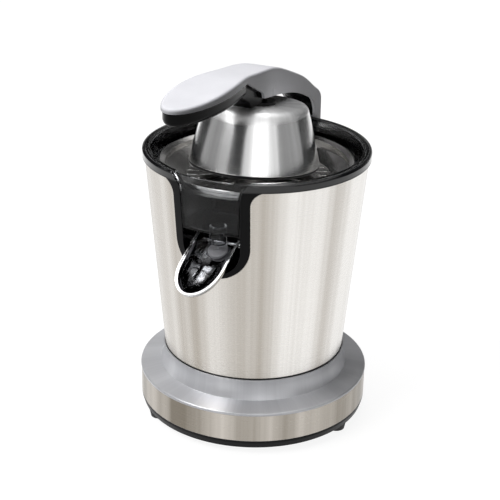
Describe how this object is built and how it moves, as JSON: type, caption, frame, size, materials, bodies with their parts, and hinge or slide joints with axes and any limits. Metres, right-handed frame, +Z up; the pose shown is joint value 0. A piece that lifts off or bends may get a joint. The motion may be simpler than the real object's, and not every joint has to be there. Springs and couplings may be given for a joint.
{
  "type": "lever citrus press",
  "caption": "Electric citrus press: brushed-steel body on a round base, lever-mounted pressing dome over a turning cone, clear juice collector and drip-stop spout.",
  "frame": {"origin": "on the axis of the round body, in the plane that the feet stand on", "axes": "+Z up along the body's axis; -Y towards the spout and the lever's handle, +Y towards the lever's hinge; +X to the right seen from the front"},
  "size_m": [0.21, 0.2815, 0.3323],
  "materials": {
    "brushed_steel": "fine brushed, satin",
    "polished_steel": "polished",
    "silver_base": "satin silver",
    "silver_lever": "satin silver",
    "black_gloss": "gloss",
    "black_plastic": "fine grain",
    "smoke_clear": "clear, smoky",
    "dark_grey": "semi-gloss",
    "grey_silicone": "matt",
    "black_rubber": "matt",
    "steel": "bright machined",
    "bronze": "machined",
    "white_nylon": "moulded",
    "gearbox_plastic": "moulded",
    "motor_steel": "plated",
    "ferrite": "sintered"
  },
  "bodies": {
    "housing": {"feet": "black_rubber", "base_plate": "black_plastic", "base_band": "brushed_steel", "cord_gland": "black_plastic", "base_cover": "silver_base", "base_screws": "steel", "lower_ring": "black_plastic", "body_shell": "brushed_steel", "upper_housing": "black_gloss", "spout_bezel": "black_gloss", "spout_pin": "steel", "juice_collector": "smoke_clear", "strainer": "polished_steel", "upper_bush": "bronze", "shaft_seal": "black_rubber", "gear_axle": "steel", "gearbox_housing": "gearbox_plastic", "gearbox_screws": "steel", "lower_bush": "bronze", "start_switch": "black_plastic", "return_spring": "steel", "motor_can": "motor_steel", "motor_screws": "steel", "motor_magnets": "ferrite", "motor_cap": "black_plastic", "tie_rods": "steel", "tie_nuts": "steel", "hinge_bracket": "black_plastic", "bracket_screws": "steel", "hinge_pin": "steel"},
    "lever": {"lever_shell": "silver_lever", "lever_cover": "black_plastic", "lever_screws": "steel", "lever_bushes": "white_nylon", "dome_pin": "steel"},
    "dome": {"dome_shell": "brushed_steel", "dome_ring": "black_gloss", "dome_liner": "black_gloss", "dome_hub": "black_plastic", "dome_screws": "steel"},
    "thrust": {"thrust_pad": "white_nylon", "switch_plunger": "white_nylon"},
    "spindle": {"drive_shaft": "steel", "output_gear": "white_nylon", "reamer": "dark_grey"},
    "compound": {"compound_gear": "white_nylon"},
    "armature": {"armature": "motor_steel", "pinion": "steel"},
    "spout": {"spout_shell": "polished_steel", "spout_liner": "black_gloss", "drip_pad": "grey_silicone"}
  },
  "joints": [
    {"name": "lever_lift", "type": "hinge", "parent": "housing", "child": "lever", "pos_m": [0, 0.108, 0.236], "axis": [-1, 0, 0], "range_deg": [0, 80]},
    {"name": "dome_tilt", "type": "hinge", "parent": "lever", "child": "dome", "pos_m": [0, 0, 0.307], "axis": [1, 0, 0], "range_deg": [-2, 4.5]},
    {"name": "spout_flip", "type": "hinge", "parent": "housing", "child": "spout", "pos_m": [0, -0.066, 0.183], "axis": [-1, 0, 0], "range_deg": [0, 25]},
    {"name": "press_down", "type": "slide", "parent": "housing", "child": "thrust", "axis": [0, 0, -1], "range_m": [0, 0.0025], "stiffness_N_per_m": 2000, "springref_m": -0.004, "deforming": ["return_spring"]},
    {"name": "spindle_spin", "type": "hinge", "parent": "thrust", "child": "spindle", "pos_m": [0, 0, 0.2], "axis": [0, 0, 1], "continuous": true},
    {"name": "compound_spin", "type": "hinge", "parent": "housing", "child": "compound", "pos_m": [0, 0.03875, 0.17], "axis": [0, 0, 1], "continuous": true},
    {"name": "armature_spin", "type": "hinge", "parent": "housing", "child": "armature", "pos_m": [-0.02905, 0.03363, 0.13], "axis": [0, 0, 1], "continuous": true}
  ],
  "couplings": [
    {"joint": "compound_spin", "follows": "armature_spin", "ratio": -0.31111},
    {"joint": "spindle_spin", "follows": "armature_spin", "ratio": 0.090741}
  ]
}
